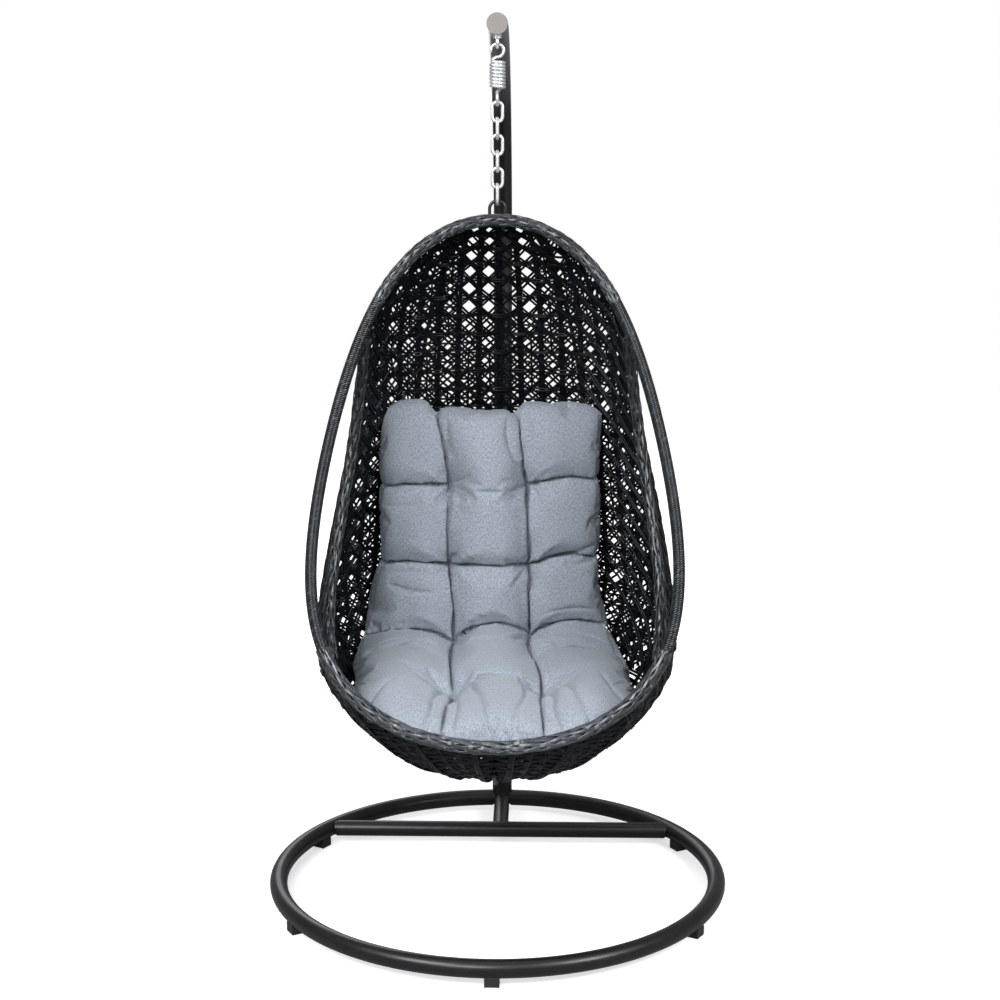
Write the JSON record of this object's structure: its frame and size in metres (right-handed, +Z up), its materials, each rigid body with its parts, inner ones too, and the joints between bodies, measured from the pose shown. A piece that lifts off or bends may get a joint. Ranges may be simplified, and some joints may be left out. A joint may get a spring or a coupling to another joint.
{
  "type": "hanging egg chair",
  "caption": "Hanging egg chair: a woven open-fronted basket with a tufted seat cushion, hung by a spring and a chain from a bent pole on a ring base.",
  "frame": {"origin": "on the floor at the middle of the whole footprint; the hanging point stands 48.75 mm in front of it", "axes": "+Z up; -Y towards the basket's open front; +X to the right in a front view, which looks along +Y"},
  "size_m": [1.0499, 1.1474, 1.9765],
  "materials": {
    "black_steel": "satin black-brown powder coat",
    "black_plastic": "matte",
    "zinc_steel": "bright zinc plate",
    "taupe_plastic": "matte",
    "black_rattan": "satin synthetic rattan",
    "blue_linen": "plain woven linen look"
  },
  "bodies": {
    "stand": {"base_ring": "black_steel", "cross_bar": "black_steel", "bar_stubs": "black_steel", "spine_tube": "black_steel", "feet": "black_plastic", "feet_screws": "zinc_steel", "pole_socket": "black_steel", "pole_lower": "black_steel", "pole_sleeve": "black_steel", "pole_upper": "black_steel", "pole_bolts": "black_steel", "pole_end_cap": "taupe_plastic", "eye_bolt": "zinc_steel", "eye_nut": "zinc_steel"},
    "hanger_spring": {"spring": "zinc_steel"},
    "link_1": {"chain_link_1": "zinc_steel"},
    "link_2": {"chain_link_2": "zinc_steel"},
    "link_3": {"chain_link_3": "zinc_steel"},
    "link_4": {"chain_link_4": "zinc_steel"},
    "link_5": {"chain_link_5": "zinc_steel"},
    "link_6": {"chain_link_6": "zinc_steel"},
    "basket": {"hanging_loop": "black_steel", "hoop_frame": "black_steel", "hoop_wrap": "black_rattan", "side_rail_left": "black_rattan", "side_rail_right": "black_rattan", "woven_shell": "black_rattan", "back_rib_centre": "black_steel", "back_rib_left": "black_steel", "back_rib_right": "black_steel", "cushion": "blue_linen"}
  },
  "joints": [
    {"name": "swing_fore_aft", "type": "hinge", "parent": "stand", "child": "hanger_spring", "pos_m": [0, -0.04875, 1.91168], "axis": [1, 0, 0], "range_deg": [-15, 3]},
    {"name": "spring_stretch", "type": "slide", "parent": "hanger_spring", "child": "link_1", "axis": [0, 0, 1], "range_m": [-0.015, 0], "stiffness_N_per_m": 26000, "springref_m": 0.03, "deforming": ["spring"]},
    {"name": "swing_side", "type": "hinge", "parent": "link_1", "child": "link_2", "pos_m": [0, -0.04875, 1.75578], "axis": [0, 1, 0], "range_deg": [-12, 12]},
    {"name": "chain_twist_1", "type": "hinge", "parent": "link_2", "child": "link_3", "pos_m": [0, -0.04875, 1.72083], "axis": [0, 0, 1], "range_deg": [-20, 20], "stiffness_Nm_per_rad": 0.5},
    {"name": "chain_twist_2", "type": "hinge", "parent": "link_3", "child": "link_4", "pos_m": [0, -0.04875, 1.68588], "axis": [0, 0, 1], "range_deg": [-20, 20], "stiffness_Nm_per_rad": 0.5},
    {"name": "chain_twist_3", "type": "hinge", "parent": "link_4", "child": "link_5", "pos_m": [0, -0.04875, 1.65092], "axis": [0, 0, 1], "range_deg": [-20, 20], "stiffness_Nm_per_rad": 0.5},
    {"name": "chain_twist_4", "type": "hinge", "parent": "link_5", "child": "link_6", "pos_m": [0, -0.04875, 1.61597], "axis": [0, 0, 1], "range_deg": [-20, 20], "stiffness_Nm_per_rad": 0.5},
    {"name": "basket_tilt", "type": "hinge", "parent": "link_6", "child": "basket", "pos_m": [0, -0.04875, 1.58112], "axis": [1, 0, 0], "range_deg": [-6, 1]}
  ]
}
